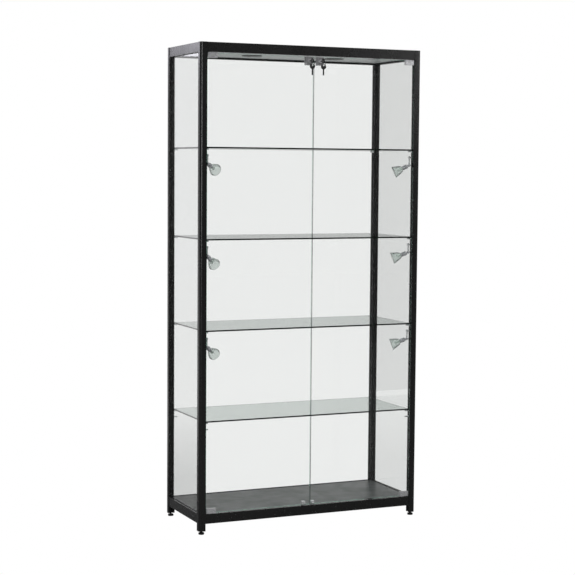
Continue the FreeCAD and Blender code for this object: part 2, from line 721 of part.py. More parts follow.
def key_shape(name, shank_long, hole_place, blade):
    """A flat key along +X: round bow, shank and blade; the blade starts where the shank ends."""
    bow, thick = size("bow_radius"), size("key_thick")
    disc = rod(f"{name}_disc", bow, thick, (bow, 0, -thick / 2))
    hole = rod(f"{name}_hole", size("bow_hole"), thick * 2, (hole_place, 0, -thick))
    bow_ring = cut(f"{name}_bow", disc, hole)
    bow_end = bow * 2 - size("bow_bite")
    shank = rod(f"{name}_shank", size("shank_radius"), shank_long, (bow_end, 0, 0), "x")
    steel = block(f"{name}_steel", (blade, size("blade_wide"), size("blade_thick")),
                  (bow_end + shank_long + blade / 2, 0, 0))
    return fuse(name, [bow_ring, shank, steel])


def lock_key(side, sign):
    """The key in the lock: bow upright, blade in the keyway."""
    x = sign * size("lock_place")
    tip = front - size("key_reach")
    face = front - size("lock_front") - size("plug_stand")
    shank = face - (tip + size("bow_radius") * 2 - size("bow_bite"))
    key = key_shape(f"lock_key_{side}", shank, size("hole_back"), size("blade_long") / 2)
    key.Placement = Placement(Vector(), Rotation(Vector(0, 1, 0), Vector(0, 0, 1), Vector(1, 0, 0), "ZXY"))
    bind_place(key, (x, tip, lock_axis_z))
    keep(key)


def spare_key(side, sign):
    """A spare key on a split ring that hangs from the bow of the key in the lock."""
    x = sign * size("lock_place")
    ring_y = front - size("key_reach") + size("hole_back")
    ring_z = lock_axis_z - size("bow_hole") - size("ring_radius") + size("ring_sag")
    ring = doc.addObject("Part::Torus", f"spare_{side}_ring")
    bind(ring, "Radius1", size("ring_radius"))
    bind(ring, "Radius2", size("ring_wire"))
    ring.Placement = Placement(Vector(), Rotation(Vector(1, 0, 0), 90))
    bind_place(ring, (x, ring_y, ring_z))
    key = key_shape(f"spare_{side}", size("spare_shank"), size("spare_hole"), size("blade_long"))
    turn = math.radians(KEY_TURN)
    flat = Vector(-math.sin(turn), math.cos(turn), 0)
    key.Placement = Placement(Vector(), Rotation(Vector(0, 0, -1), flat, Vector(0, 0, -1).cross(flat), "XYZ"))
    hang = ring_z - size("ring_radius") + size("spare_hole") + size("spare_slack")
    bind_place(key, (x, ring_y, hang))
    keep(group(f"spare_key_{side}", [ring, key]))


def door_stops():
    """Round stops on the floor with a bumper that each closed leaf rests against."""
    made = []
    for side, sign in sides:
        x, y = sign * size("stop_place"), front + size("stop_back")
        level = door_low + size("bumper_lift")
        drum = rod(f"stop_{side}_drum", size("stop_radius"), size("stop_high"), (x, y, floor_top))
        face = door_y + size("pane_thick") / 2 + size("washer_gap")
        bumper = rod(f"stop_{side}_bumper", size("bumper_radius"), y - face, (x, face, level), "y")
        made.append(fuse(f"stop_{side}", [drum, bumper]))
    keep(group("door_stops", made))


# ---------------------------------------------------------------- spotlights

def lamp_pegs():
    """Pegs in the front posts, each ending in an upright boss that carries a lamp arm."""
    made = []
    for side, sign in sides:
        for count, level in enumerate(lamp_levels, start=1):
            boss_x = inner_width / 2 - size("lamp_offset")
            long = size("lamp_offset") + size("peg_depth")
            low = -(inner_width / 2 + size("peg_depth")) if sign < 0 else boss_x
            shank = rod(f"lamp_peg_{side}_{count}_shank", size("peg_radius"), long,
                        (low, front_peg_y, level), "x")
            foot = level - size("boss_high") / 2
            boss = rod(f"lamp_peg_{side}_{count}_boss", size("boss_radius"), size("boss_high"),
                       (sign * boss_x, front_peg_y, foot))
            bore = rod(f"lamp_peg_{side}_{count}_bore", size("pivot_radius") + running, size("boss_high") * 2,
                       (sign * boss_x, front_peg_y, foot - size("boss_high") / 2))
            made.append(cut(f"lamp_peg_{side}_{count}",
                            fuse(f"lamp_peg_{side}_{count}_solid", [shank, boss]), bore))
    keep(group("lamp_pegs", made))


def lamp_heading(side, sign):
    """Which way a lamp looks, in degrees about Z from +X."""
    pan = size(f"pan_{side}").value
    return pan if sign < 0 else 180 - pan


def lamp_arm(side, sign, count, level):
    """The swivelling arm: pivot and cap above, stem, and an eye with the tilt pin below."""
    name = f"lamp_arm_{side}_{count}"
    half, gap = size("boss_high") / 2, size("lamp_gap")
    pivot = rod(f"{name}_pivot", size("pivot_radius"), (half + gap) * 2, (0, 0, -(half + gap)))
    cap = rod(f"{name}_cap", size("stem_radius"), size("cap_thick"), (0, 0, half + gap))
    drop = size("stem_long")
    stem = rod(f"{name}_stem", size("stem_radius"), drop - half - gap, (0, 0, -drop))
    eye = rod(f"{name}_eye", size("eye_radius"), size("eye_thick"),
              (-size("eye_thick") / 2, 0, -drop), "x")
    span = (size("eye_thick") / 2 + gap + size("ear_thick")) * 2
    pin = rod(f"{name}_pin", size("pivot_radius"), span, (-span / 2, 0, -drop), "x")
    arm = fuse(name, [pivot, cap, stem, eye, pin])
    arm.Placement = Placement(Vector(), Rotation(Vector(0, 0, 1), lamp_heading(side, sign) - 90))
    bind_place(arm, (sign * (inner_width / 2 - size("lamp_offset")), front_peg_y, level))
    keep(arm)


def lamp_head(side, sign, count, level):
    """The tilting head: a holder with two ears, the reflector bell and its front glass."""
    name = f"lamp_head_{side}_{count}"
    start, end, reach = size("holder_start"), size("holder_end"), size("mouth_reach")
    neck, mouth, wall = size("holder_radius"), size("mouth_radius"), size("shell_wall")
    holder = rod(f"{name}_barrel", neck, end - start, (0, 0, start))
    ear_long = start + size("eye_radius")
    ears = []
    for label, way in (("near", -1), ("far", 1)):
        across = way * (size("eye_thick") / 2 + size("lamp_gap") + size("ear_thick") / 2)
        ears.append(block(f"{name}_ear_{label}", (size("ear_thick"), size("ear_wide"), ear_long),
                          (across, 0, start + size("ear_bite") - ear_long / 2)))
    tilt_bore = rod(f"{name}_tilt_bore", size("pivot_radius") + running, neck * 2, (-neck, 0, 0), "x")
    base = cut(f"{name}_holder", fuse(f"{name}_holder_solid", [holder] + ears), tilt_bore)
    rim, flare, flare_z = reach - size("mouth_rim"), size("flare_radius"), reach - size("flare_back")
    throat, throat_z = size("throat_radius"), end + size("throat_long")
    bell = turned(f"{name}_bell", [
        (0, end), (neck - wall, end), (throat, throat_z), (flare, flare_z), (mouth, rim),
        (mouth, reach), (mouth - wall, reach), (mouth - wall, rim), (flare - wall, flare_z),
        (throat - wall, throat_z + wall), (neck - wall * 2, end + wall), (0, end + wall),
    ])
    thick = size("cover_thick")
    cover = rod(f"{name}_cover", mouth - wall, thick, (0, 0, reach - size("cover_sink") - thick))
    head = group(name, [base, bell, cover])
    heading = math.radians(lamp_heading(side, sign))
    drop = math.radians(size(f"tilt_{side}_{count}").value)
    aim = Vector(math.cos(heading) * math.cos(drop), math.sin(heading) * math.cos(drop), -math.sin(drop))
    across = Vector(math.sin(heading), -math.cos(heading), 0)
    head.Placement = Placement(Vector(), Rotation(across, aim.cross(across), aim, "ZXY"))
    bind_place(head, (sign * (inner_width / 2 - size("lamp_offset")), front_peg_y, level - size("stem_long")))
    keep(head)


# ---------------------------------------------------------------- build and write

for corner_name, x_sign, y_sign, quarter in corners:
    corner_post(corner_name, x_sign, y_sign, quarter)
keep(group("post_caps", [post_cap(*corner) for corner in corners]))
for corner_name, x_sign, y_sign, quarter in corners:
    levelling_foot(corner_name, x_sign, y_sign)
long_rails()
side_rails()
panels()
ceiling_vents()
corner_brackets()
top_compartment()
fixed_panes()
shelves()
pegs()
for door_side, door_sign in sides:
    door_leaf(door_side, door_sign)
    hinge_clamps(door_side, door_sign)
    lock_body(door_side, door_sign)
    lock_plug(door_side, door_sign)
    lock_bolt(door_side, door_sign)
    lock_key(door_side, door_sign)
    spare_key(door_side, door_sign)
pivot_washers()
door_stops()
lamp_pegs()
for lamp_side, lamp_sign in sides:
    for lamp_count, lamp_level in enumerate(lamp_levels, start=1):
        lamp_arm(lamp_side, lamp_sign, lamp_count, lamp_level)
        lamp_head(lamp_side, lamp_sign, lamp_count, lamp_level)
doc.recompute()

for thing in doc.Objects:
    if "Invalid" in thing.State or "Error" in thing.State:
        raise RuntimeError(f"{thing.Name} failed: {thing.State}")
for piece in kept:
    if piece.Shape.isNull() or not piece.Shape.isValid():
        raise RuntimeError(f"{piece.Label} has no valid shape")

os.makedirs("parts", exist_ok=True)
for piece in kept:
    piece.Shape.exportStep(f"parts/{piece.Label}.step")
print(f"{len(kept)} pieces written")
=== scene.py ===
# %% [markdown]
# # A glass showcase with two doors
# The real thing is a shop showcase: a frame of black extruded profile, five storeys of
# display room behind float glass, two frameless doors with locks, and six small
# spotlights on the front posts. All its sizes come from the engineering model, which is
# loaded here and never moved. This file gives it its finishes and its fine pieces.

# %% Load the frame
import math
import bmesh
import bpy
from mathutils import Matrix, Vector


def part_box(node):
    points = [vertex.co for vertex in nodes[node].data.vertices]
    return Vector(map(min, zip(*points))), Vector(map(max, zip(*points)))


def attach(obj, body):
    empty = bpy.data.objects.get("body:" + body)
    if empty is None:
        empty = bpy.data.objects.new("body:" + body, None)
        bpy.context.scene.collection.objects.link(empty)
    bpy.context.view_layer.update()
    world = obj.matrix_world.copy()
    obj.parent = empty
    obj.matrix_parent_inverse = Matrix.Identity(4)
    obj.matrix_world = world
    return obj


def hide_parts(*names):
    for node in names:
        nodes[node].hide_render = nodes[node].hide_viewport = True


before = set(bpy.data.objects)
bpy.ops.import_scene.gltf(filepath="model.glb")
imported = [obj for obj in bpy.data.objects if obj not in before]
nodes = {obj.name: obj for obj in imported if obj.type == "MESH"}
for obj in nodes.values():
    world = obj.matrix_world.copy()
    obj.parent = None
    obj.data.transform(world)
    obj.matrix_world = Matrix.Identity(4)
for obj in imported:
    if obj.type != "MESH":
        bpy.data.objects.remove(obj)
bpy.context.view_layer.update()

# %% Places that several pieces share
post_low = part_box("post_front_left")[0]
cabinet_low = Vector((post_low.x, post_low.y, 0.0))
cabinet_high = Vector(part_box("post_back_right")[1])
middle_y = (cabinet_low.y + cabinet_high.y) / 2
SIDES = (("left", -1), ("right", 1))
print("cabinet from", cabinet_low, "to", cabinet_high)

# %% [markdown]
# ## Camera
# The showcase is seen from its left front corner, from a little below its top and
# from far away with a long lens, so that its upright lines stay almost parallel.

# %% Stand the camera at the left front
CAMERA_PLACE = Vector((-2.7105, middle_y - 6.0196, 1.501))
CAMERA_YAW, CAMERA_PITCH, CAMERA_ROLL = (math.radians(turn) for turn in (24.05, 4.44, 0.44))
CAMERA_LENS = 96.77
SENSOR = 36.0


def aim_matrix(place, yaw, pitch, roll):
    """A camera matrix that looks along +Y turned by yaw to the right and pitch down."""
    ahead = Vector((math.sin(yaw) * math.cos(pitch), math.cos(yaw) * math.cos(pitch), -math.sin(pitch)))
    right = Vector((math.cos(yaw), -math.sin(yaw), 0))
    upward = right.cross(ahead)
    right, upward = (right * math.cos(roll) + upward * math.sin(roll),
                     upward * math.cos(roll) - right * math.sin(roll))
    return Matrix.Translation(place) @ Matrix((right, upward, -ahead)).transposed().to_4x4()


camera_data = bpy.data.cameras.new("camera")
camera_data.lens = CAMERA_LENS
camera_data.sensor_width = SENSOR
camera_data.clip_end = 100
camera = bpy.data.objects.new("camera", camera_data)
bpy.context.scene.collection.objects.link(camera)
camera.matrix_world = aim_matrix(CAMERA_PLACE, CAMERA_YAW, CAMERA_PITCH, CAMERA_ROLL)
bpy.context.scene.camera = camera
print("camera stands", round((CAMERA_PLACE - Vector((0, middle_y, 1))).length, 2), "m away")

# %% [markdown]
# ## Light
# A white wall stands behind the showcase and the room behind the camera is dim. That is
# what makes black profile look black while clear glass still shows white behind it. The
# wall is the world itself. A view that goes straight through sees plain white. A view
# that has bounced sees a wall that is bright ahead and falls off to the sides.

# %% Helpers for wiring shader nodes
def add_node(tree, kind, **values):
    """A new node with some of its plain properties and inputs set."""
    made = tree.nodes.new(kind)
    for name, value in values.items():
        if name in made.bl_rna.properties:
            setattr(made, name, value)
        else:
            made.inputs[name.replace("_", " ")].default_value = value
    return made


def ramp(tree, source, stops):
    """A colour ramp fed by source, with (place, grey or colour) stops."""
    made = tree.nodes.new("ShaderNodeValToRGB")
    while len(made.color_ramp.elements) < len(stops):
        made.color_ramp.elements.new(0.5)
    for element, (place, shade) in zip(made.color_ramp.elements, stops):
        element.position = place
        element.color = (*shade, 1) if isinstance(shade, tuple) else (shade, shade, shade, 1)
    tree.links.new(source, made.inputs["Fac"])
    return made.outputs["Color"]


def bounced(tree):
    """One for a view that has bounced off something, zero for one that came straight through."""
    paths = add_node(tree, "ShaderNodeLightPath")
    total = add_node(tree, "ShaderNodeMath", operation="ADD")
    tree.links.new(paths.outputs["Glossy Depth"], total.inputs[0])
    tree.links.new(paths.outputs["Diffuse Depth"], total.inputs[1])
    made = add_node(tree, "ShaderNodeMath", operation="GREATER_THAN")
    made.inputs[1].default_value = 0.5
    tree.links.new(total.outputs[0], made.inputs[0])
    return made.outputs[0]


def mixed(tree, factor, first, second):
    """A mix of two shaders."""
    made = add_node(tree, "ShaderNodeMixShader")
    for socket, source in zip(made.inputs, (factor, first, second)):
        tree.links.new(source, socket)
    return made.outputs[0]


def surface(tree, shader):
    """Send a shader to the surface of its material."""
    tree.links.new(shader, tree.nodes["Material Output"].inputs["Surface"])


# %% The wall and the dim room
WALL_STOPS = ((0.0, 0.03), (0.5, 0.05), (0.72, 0.06), (0.80, (0.74, 0.73, 0.78)), (0.88, 0.78), (0.95, 0.62))
view_ahead = Vector((math.sin(CAMERA_YAW), math.cos(CAMERA_YAW), 0))
world = bpy.data.worlds.new("studio")
bpy.context.scene.world = world
world.use_nodes = True
tree = world.node_tree
where = add_node(tree, "ShaderNodeTexCoord")
facing = add_node(tree, "ShaderNodeVectorMath", operation="DOT_PRODUCT")
facing.inputs[1].default_value = view_ahead
tree.links.new(where.outputs["Generated"], facing.inputs[0])
shifted = add_node(tree, "ShaderNodeMath", operation="MULTIPLY_ADD")
shifted.inputs[1].default_value = 0.5
shifted.inputs[2].default_value = 0.5
tree.links.new(facing.outputs["Value"], shifted.inputs[0])
wall = ramp(tree, shifted.outputs[0], WALL_STOPS)
choice = add_node(tree, "ShaderNodeMix", data_type="RGBA")
tree.links.new(bounced(tree), choice.inputs["Factor"])
choice.inputs["A"].default_value = (1, 1, 1, 1)
tree.links.new(wall, choice.inputs["B"])
tree.links.new(choice.outputs["Result"], tree.nodes["Background"].inputs["Color"])
bpy.context.scene.view_settings.view_transform = "Standard"
print("world ramp:", len(WALL_STOPS), "stops")

# %% Soft lights above, to the left and in front
LIGHTS = (
    ("overhead", (0.0, 0.3, 4.6), (0, 0, 0), 5.0, 150, (1, 1, 1)),
    ("left_high", (-2.0, 3.4, 3.05), (math.radians(-97), 0, math.radians(24)), 1.7, 26, (0.92, 0.90, 1)),
    ("front_fill", (4.6, -5.0, 3.3), (math.radians(66), 0, math.radians(42)), 2.2, 60, (1, 1, 1)),
    ("front_soft", (-3.4, -4.6, 1.9), (math.radians(84), 0, math.radians(-36)), 1.6, 65, (1, 1, 1)),
)
for name, place, turn, breadth, power, tint in LIGHTS:
    lamp = bpy.data.lights.new(name, "AREA")
    lamp.size = breadth
    lamp.energy = power
    lamp.color = tint
    holder = bpy.data.objects.new(name, lamp)
    holder.location = place
    holder.rotation_euler = turn
    holder.visible_camera = False
    holder.visible_transmission = False
    bpy.context.scene.collection.objects.link(holder)
print("lights:", len(LIGHTS))

# %% [markdown]
# ## Floor
# A plain pale floor. Seen straight it is as white as the wall. What is glossy sees a
# dimmer floor near the showcase, like the floor of a real studio, so the lower rails stay
# dark. Far behind, the reflected floor is as bright as the wall.

# %% Lay the floor
FLOOR_REACH = 14
GLOW_FADE, FAR_GLOW = (1.0, 3.0), 0.76
bpy.ops.object.select_all(action="DESELECT")
bpy.ops.mesh.primitive_plane_add(size=FLOOR_REACH * 2, location=(0, 0, 0))
floor = bpy.context.object
floor.name = "floor"
floor_finish = bpy.data.materials.new("floor_finish")
floor_finish.use_nodes = True
tree = floor_finish.node_tree
shader = tree.nodes["Principled BSDF"]
shader.inputs["Base Color"].default_value = (0.16, 0.16, 0.16, 1)
shader.inputs["Roughness"].default_value = 0.9
white = add_node(tree, "ShaderNodeEmission", Strength=1.0)
place = add_node(tree, "ShaderNodeTexCoord")
parts = add_node(tree, "ShaderNodeSeparateXYZ")
tree.links.new(place.outputs["Object"], parts.inputs[0])
far = add_node(tree, "ShaderNodeMapRange")
far.inputs["From Min"].default_value, far.inputs["From Max"].default_value = GLOW_FADE
tree.links.new(parts.outputs["Y"], far.inputs["Value"])
glow = add_node(tree, "ShaderNodeEmission", Strength=FAR_GLOW)
reflected_floor = mixed(tree, far.outputs["Result"], shader.outputs[0], glow.outputs[0])
surface(tree, mixed(tree, bounced(tree), white.outputs[0], reflected_floor))
floor.data.materials.append(floor_finish)
print("floor laid,", FLOOR_REACH * 2, "m wide")

# %% [markdown]
# ## Dark card
# In a studio a black card is stood where one pane would mirror the bright wall too
# strongly. This one darkens what the right end pane mirrors. It shows in reflections only.

# %% Stand the card far behind
CARD_SPAN = (-1.42, -0.95)
CARD_BACK, CARD_MIDDLE, CARD_TALL = 3.0, 1.3, 3.0
bpy.ops.object.select_all(action="DESELECT")
bpy.ops.mesh.primitive_plane_add(size=1, location=(0, 0, 0))
card = bpy.context.object
card.name = "dark_card"
card.data.transform(Matrix.Translation((sum(CARD_SPAN) / 2, cabinet_high.y + CARD_BACK, CARD_MIDDLE))
                    @ Matrix.Rotation(math.radians(90), 4, "X")
                    @ Matrix.Diagonal((CARD_SPAN[1] - CARD_SPAN[0], CARD_TALL, 1, 1)))
card_finish = bpy.data.materials.new("card_finish")
card_finish.use_nodes = True
tree = card_finish.node_tree
tree.nodes["Principled BSDF"].inputs["Base Color"].default_value = (0.02, 0.02, 0.02, 1)
clear = add_node(tree, "ShaderNodeBsdfTransparent")
paths = add_node(tree, "ShaderNodeLightPath")
reflected = add_node(tree, "ShaderNodeMath", operation="GREATER_THAN")
reflected.inputs[1].default_value = 0.5
tree.links.new(paths.outputs["Glossy Depth"], reflected.inputs[0])
surface(tree, mixed(tree, reflected.outputs[0], clear.outputs[0], tree.nodes["Principled BSDF"].outputs[0]))
card.data.materials.append(card_finish)
print("card spans", CARD_SPAN)

# %% [markdown]
# ## Shared surface effects
# Three effects turn up on nearly every finish: a fine grain that runs one way, soft
# smudges that change the gloss, and thin scratches. Each is a node group that gives out
# one mask, so a finish only has to say how strong and how fine it wants it.

# %% Build the three effect groups
def effect_group(name, sockets):
    """An empty node group with a Mask output and the given number or vector inputs."""
    made = bpy.data.node_groups.new(name, "ShaderNodeTree")
    for label, kind, value in sockets:
        socket = made.interface.new_socket(label, in_out="INPUT", socket_type=kind)
        socket.default_value = value
    made.interface.new_socket("Mask", in_out="OUTPUT", socket_type="NodeSocketFloat")
    entry, leave = made.nodes.new("NodeGroupInput"), made.nodes.new("NodeGroupOutput")
    place = made.nodes.new("ShaderNodeTexCoord")
    return made, entry, leave, place.outputs["Object"]


def build_grain():
    """Fine streaks: noise stretched by the Stretch vector."""
    tree, entry, leave, place = effect_group("grain", (("Stretch", "NodeSocketVector", (300, 300, 300)),))
    scaled = add_node(tree, "ShaderNodeVectorMath", operation="MULTIPLY")
    tree.links.new(place, scaled.inputs[0])
    tree.links.new(entry.outputs["Stretch"], scaled.inputs[1])
    noise = add_node(tree, "ShaderNodeTexNoise", Scale=1.0, Detail=3.0, Roughness=0.6)
    tree.links.new(scaled.outputs[0], noise.inputs["Vector"])
    tree.links.new(noise.outputs["Fac"], leave.inputs["Mask"])
    return tree


def build_smudges():
    """Broad soft patches, as from handling and wiping."""
    tree, entry, leave, place = effect_group("smudges", (("Scale", "NodeSocketFloat", 12.0),))
    noise = add_node(tree, "ShaderNodeTexNoise", Detail=4.0, Roughness=0.55, Distortion=0.8)
    tree.links.new(place, noise.inputs["Vector"])
    tree.links.new(entry.outputs["Scale"], noise.inputs["Scale"])
    mask = ramp(tree, noise.outputs["Fac"], ((0.35, 0.0), (0.68, 1.0)))
    tree.links.new(mask, leave.inputs["Mask"])
    return tree


def build_scratches():
    """Thin scattered lines: the narrow crest of a distorted wave, broken up by noise."""
    tree, entry, leave, place = effect_group("scratches", (("Scale", "NodeSocketFloat", 20.0),))
    wave = add_node(tree, "ShaderNodeTexWave", Distortion=14.0, Detail=2.0)
    breaks = add_node(tree, "ShaderNodeTexNoise", Detail=2.0)
    for texture in (wave, breaks):
        tree.links.new(place, texture.inputs["Vector"])
        tree.links.new(entry.outputs["Scale"], texture.inputs["Scale"])
    crest = ramp(tree, wave.outputs["Fac"], ((0.975, 0.0), (1.0, 1.0)))
    gaps = ramp(tree, breaks.outputs["Fac"], ((0.52, 0.0), (0.62, 1.0)))
    both = add_node(tree, "ShaderNodeMath", operation="MULTIPLY")
    tree.links.new(crest, both.inputs[0])
    tree.links.new(gaps, both.inputs[1])
    tree.links.new(both.outputs[0], leave.inputs["Mask"])
    return tree


effects = {"grain": build_grain(), "smudges": build_smudges(), "scratches": build_scratches()}
print("effects:", sorted(effects))

# %% [markdown]
# ## Finishes
# Every finish is a Principled shader. Grain goes into its bump and its colour, smudges
# into its roughness, and scratches lighten its colour a little.

# %% Helpers that make a finish
def effect(tree, name, **values):
    """One shared effect placed in a finish, with its own values."""
    made = tree.nodes.new("ShaderNodeGroup")
    made.node_tree = effects[name]
    for label, value in values.items():
        made.inputs[label].default_value = value
    return made.outputs["Mask"]


def spread(tree, mask, low, high):
    """Turn a 0 to 1 mask into a value between low and high."""
    made = add_node(tree, "ShaderNodeMapRange")
    made.inputs["To Min"].default_value = low
    made.inputs["To Max"].default_value = high
    tree.links.new(mask, made.inputs["Value"])
    return made.outputs["Result"]


def blend_colour(tree, mask, first, second):
    """A colour between first and second as the mask says."""
    made = add_node(tree, "ShaderNodeMix", data_type="RGBA")
    made.inputs["A"].default_value = (*first, 1)
    made.inputs["B"].default_value = (*second, 1)
    tree.links.new(mask, made.inputs["Factor"])
    return made.outputs["Result"]


def add_bump(tree, shader, mask, strength, distance):
    """Feed a mask into the shader's normal as fine relief."""
    made = add_node(tree, "ShaderNodeBump")
    made.inputs["Strength"].default_value = strength
    made.inputs["Distance"].default_value = distance
    tree.links.new(mask, made.inputs["Height"])
    tree.links.new(made.outputs["Normal"], shader.inputs["Normal"])


def finish(name, light, dark, gloss, metallic=0.0, stretch=(300, 300, 300), relief=0.1, smudge=12.0,
           coat=0.0):
    """A solid finish: colour between light and dark, roughness between the two gloss values."""
    material = bpy.data.materials.new(name)
    material.use_nodes = True
    tree = material.node_tree
    shader = tree.nodes["Principled BSDF"]
    shader.inputs["Metallic"].default_value = metallic
    shader.inputs["Coat Weight"].default_value = coat
    grain = effect(tree, "grain", Stretch=stretch)
    smudges = effect(tree, "smudges", Scale=smudge)
    scratches = effect(tree, "scratches", Scale=smudge * 3)
    colour = blend_colour(tree, grain, dark, light)
    worn = add_node(tree, "ShaderNodeMix", data_type="RGBA")
    worn.inputs["B"].default_value = (*[min(1, part * 1.3 + 0.004) for part in light], 1)
    tree.links.new(spread(tree, scratches, 0.0, 0.3), worn.inputs["Factor"])
    tree.links.new(colour, worn.inputs["A"])
    tree.links.new(worn.outputs["Result"], shader.inputs["Base Color"])
    tree.links.new(spread(tree, smudges, *gloss), shader.inputs["Roughness"])
    add_bump(tree, shader, grain, relief, 0.0004)
    return material


ALONG_X, ALONG_Y, ALONG_Z = (12, 900, 900), (900, 12, 900), (900, 900, 12)
ALL_WAYS = (700, 700, 700)

# %% [markdown]
# ## Glass
# Float glass is clear through its faces and dark green through its ground edges, where
# light travels the length of the sheet. Modelling the green with absorption would need
# the light to bounce inside many times. Choosing the colour by which way a face looks is
# lighter and gives the same picture. Lamps shine through by a Light Path switch.

# %% Make the glass finishes
def glass(name, through, edge, thin, wave=0.02):
    """Glass whose faces across the thin axis (0, 1 or 2) are clear and whose edges are green."""
    material = bpy.data.materials.new(name)
    material.use_nodes = True
    tree = material.node_tree
    shader = tree.nodes["Principled BSDF"]
    shader.inputs["Roughness"].default_value = 0.0
    shader.inputs["IOR"].default_value = 1.5
    shader.inputs["Transmission Weight"].default_value = 1.0
    place = add_node(tree, "ShaderNodeTexCoord")
    parts = add_node(tree, "ShaderNodeSeparateXYZ")
    tree.links.new(place.outputs["Normal"], parts.inputs[0])
    flat = add_node(tree, "ShaderNodeMath", operation="ABSOLUTE")
    tree.links.new(parts.outputs[thin], flat.inputs[0])
    mask = ramp(tree, flat.outputs[0], ((0.80, 1.0), (0.95, 0.0)))
    tree.links.new(blend_colour(tree, mask, through, edge), shader.inputs["Base Color"])
    add_bump(tree, shader, effect(tree, "smudges", Scale=3.0), wave, 0.0002)
    clear = add_node(tree, "ShaderNodeBsdfTransparent")
    clear.inputs["Color"].default_value = (*through, 1)
    paths = add_node(tree, "ShaderNodeLightPath")
    surface(tree, mixed(tree, paths.outputs["Is Shadow Ray"], shader.outputs[0], clear.outputs[0]))
    return material


def profile(name, stretch):
    """Black anodised profile whose grain runs along its length."""
    return finish(name, (0.011, 0.011, 0.011), (0.006, 0.006, 0.006), (0.24, 0.30), stretch=stretch)


CLEAR = (0.978, 0.985, 0.980)
SHELF_CLEAR, SHELF_EDGE = (0.86, 0.93, 0.895), (0.002, 0.010, 0.004)
END_CLEAR = (0.890, 0.899, 0.893)
EDGE_GREEN = (0.10, 0.30, 0.20)
finishes = {
    "glass_across_x": glass("glass_across_x", END_CLEAR, EDGE_GREEN, 0),
    "glass_across_y": glass("glass_across_y", CLEAR, EDGE_GREEN, 1),
    "shelf_glass": glass("shelf_glass", SHELF_CLEAR, SHELF_EDGE, 2),
    "profile_up": profile("profile_up", ALONG_Z),
    "profile_across": profile("profile_across", ALONG_X),
    "profile_deep": profile("profile_deep", ALONG_Y),
    "black_plastic": finish("black_plastic", (0.022, 0.022, 0.022), (0.012, 0.012, 0.012), (0.38, 0.55),
                            stretch=ALL_WAYS, relief=0.25),
    "floor_board": finish("floor_board", (0.060, 0.062, 0.062), (0.046, 0.048, 0.048), (0.30, 0.42),
                          stretch=(60, 900, 900), relief=0.06),
    "ceiling_board": finish("ceiling_board", (0.50, 0.51, 0.51), (0.44, 0.45, 0.45), (0.35, 0.5),
                            stretch=ALL_WAYS, relief=0.05),
    "chrome": finish("chrome", (0.86, 0.86, 0.87), (0.74, 0.74, 0.76), (0.10, 0.22), metallic=0.55,
                     stretch=ALL_WAYS, relief=0.02, smudge=60.0),
    "satin_metal": finish("satin_metal", (0.66, 0.66, 0.69), (0.54, 0.54, 0.57), (0.22, 0.36), metallic=0.6,
                          stretch=ALONG_X, relief=0.12, smudge=60.0),
    "rubber": finish("rubber", (0.025, 0.025, 0.025), (0.015, 0.015, 0.015), (0.6, 0.8), relief=0.2),
    "vent_paint": finish("vent_paint", (0.03, 0.03, 0.03), (0.02, 0.02, 0.02), (0.4, 0.5), relief=0.1),
    "lock_chrome": finish("lock_chrome", (0.62, 0.62, 0.63), (0.30, 0.30, 0.31), (0.10, 0.22), metallic=0.6,
                          stretch=ALL_WAYS, relief=0.03, smudge=80.0),
    "bell_glass": glass("bell_glass", (0.84, 0.88, 0.86), (0.84, 0.88, 0.86), 0, wave=0.1),
    "lens_glass": glass("lens_glass", (0.93, 0.95, 0.94), (0.93, 0.95, 0.94), 2, wave=0.05),
    "bulb_white": finish("bulb_white", (0.90, 0.91, 0.90), (0.80, 0.82, 0.80), (0.3, 0.4), relief=0.02),
    "zinc": finish("zinc", (0.55, 0.56, 0.58), (0.40, 0.41, 0.44), (0.3, 0.45), metallic=1.0, smudge=90.0),
}
print("finishes:", len(finishes))

# %% [markdown]
# ## Tools for the fine pieces
# Each fine piece starts as a plain solid at its own size and is then cut, inset, spun or
# bevelled in edit mode, as a modeller would. A piece that repeats is modelled once in its
# own upright frame and a copy of its mesh is carried to each place, so that every
# finished object sits at the origin.

# %% Helpers for modelling
def start_from(add, name, **values):
    """Add one primitive with nothing else selected, and name it."""
    bpy.ops.object.select_all(action="DESELECT")
    add(location=(0, 0, 0), **values)
    made = bpy.context.object
    made.name = name
    return made


def pick(thing, test):
    """Enter edit mode with only the faces picked whose centre and normal pass the test."""
    bpy.ops.object.mode_set(mode="EDIT")
    bpy.ops.mesh.select_mode(type="FACE")
    bpy.ops.mesh.select_all(action="DESELECT")
    mesh = bmesh.from_edit_mesh(thing.data)
    for face in mesh.faces:
        face.select_set(test(face.calc_center_median(), face.normal))
    bmesh.update_edit_mesh(thing.data)


def done(thing, smooth=True):
    """Leave edit mode with faces outward and shade by angle."""
    bpy.ops.mesh.select_all(action="SELECT")
    bpy.ops.mesh.remove_doubles(threshold=0.00001)
    bpy.ops.mesh.normals_make_consistent(inside=False)
    bpy.ops.object.mode_set(mode="OBJECT")
    if smooth:
        bpy.ops.object.shade_smooth_by_angle(angle=math.radians(35))
    return thing


def spun(name, outline, steps=32):
    """A turned piece: one drawn outline of (radius, height) points spun about Z."""
    thing = start_from(bpy.ops.mesh.primitive_plane_add, name, size=1)
    bpy.ops.object.mode_set(mode="EDIT")
    bpy.ops.mesh.select_all(action="SELECT")
    bpy.ops.mesh.delete(type="VERT")
    mesh = bmesh.from_edit_mesh(thing.data)
    dots = [mesh.verts.new((radius, 0, height)) for radius, height in outline]
    for one, other in zip(dots, dots[1:]):
        mesh.edges.new((one, other))
    bmesh.update_edit_mesh(thing.data)
    bpy.ops.mesh.select_all(action="SELECT")
    bpy.ops.mesh.spin(steps=steps, angle=math.tau, center=(0, 0, 0), axis=(0, 0, 1))
    return done(thing)


